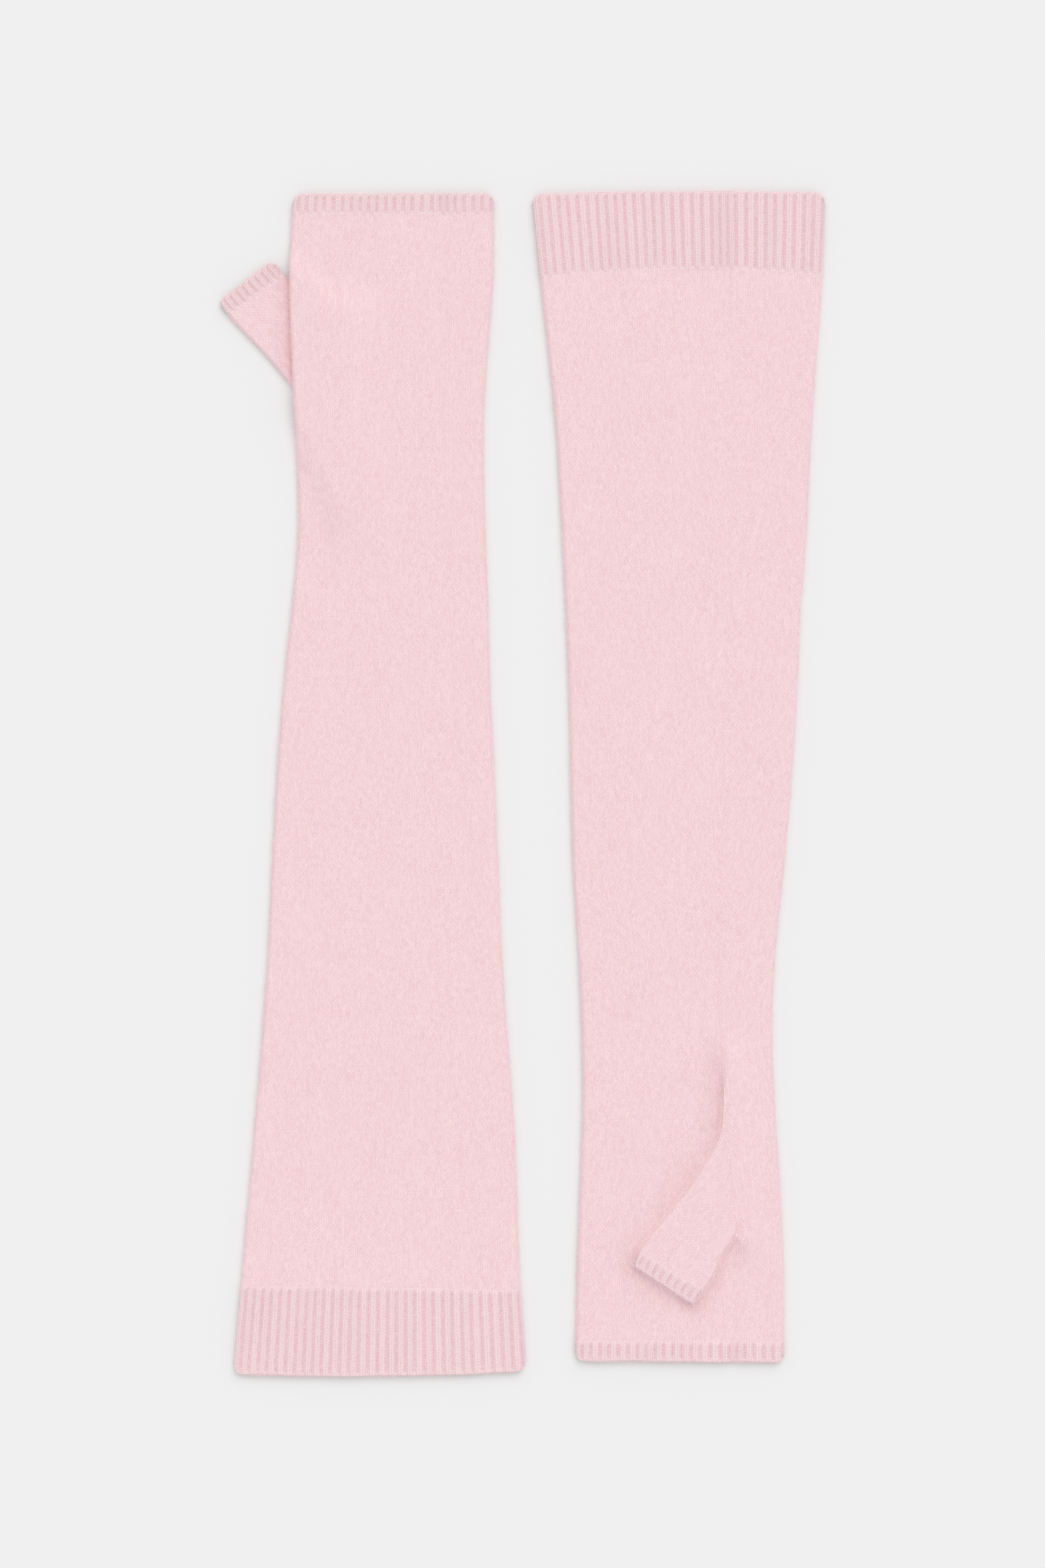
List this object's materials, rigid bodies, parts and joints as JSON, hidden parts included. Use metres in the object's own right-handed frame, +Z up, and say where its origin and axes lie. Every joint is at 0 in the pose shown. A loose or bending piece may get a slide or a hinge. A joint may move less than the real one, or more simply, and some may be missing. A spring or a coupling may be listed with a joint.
{
  "type": "pair of long fingerless knit gloves",
  "caption": "Pair of long fingerless knit gloves laid flat side by side, with ribbed arm cuffs, hand bands and short open thumbs; they warm hand and forearm and leave the fingers free.",
  "frame": {"origin": "centre of the pair's bounding box, on the surface that it rests on", "axes": "+Z up from the surface; +Y along the gloves, towards the finger end of the glove that lies back up and the arm end of the glove that lies palm up; +X from the glove that lies back up to the one that lies palm up"},
  "size_m": [0.2476, 0.4851, 0.0069],
  "materials": {
    "fine_knit": "soft matt stocking-stitch knit in pale pink, with a faint fuzz",
    "rib_knit": "soft matt 1x1 ribbed knit in pale pink, darker in the recesses"
  },
  "bodies": {
    "root": {"back_up_body": "fine_knit", "back_up_arm_rib": "rib_knit", "back_up_hand_rib": "rib_knit", "back_up_thumb": "fine_knit", "back_up_thumb_rib": "rib_knit", "palm_up_body": "fine_knit", "palm_up_arm_rib": "rib_knit", "palm_up_hand_rib": "rib_knit", "palm_up_thumb": "fine_knit", "palm_up_thumb_rib": "rib_knit"}
  },
  "joints": []
}
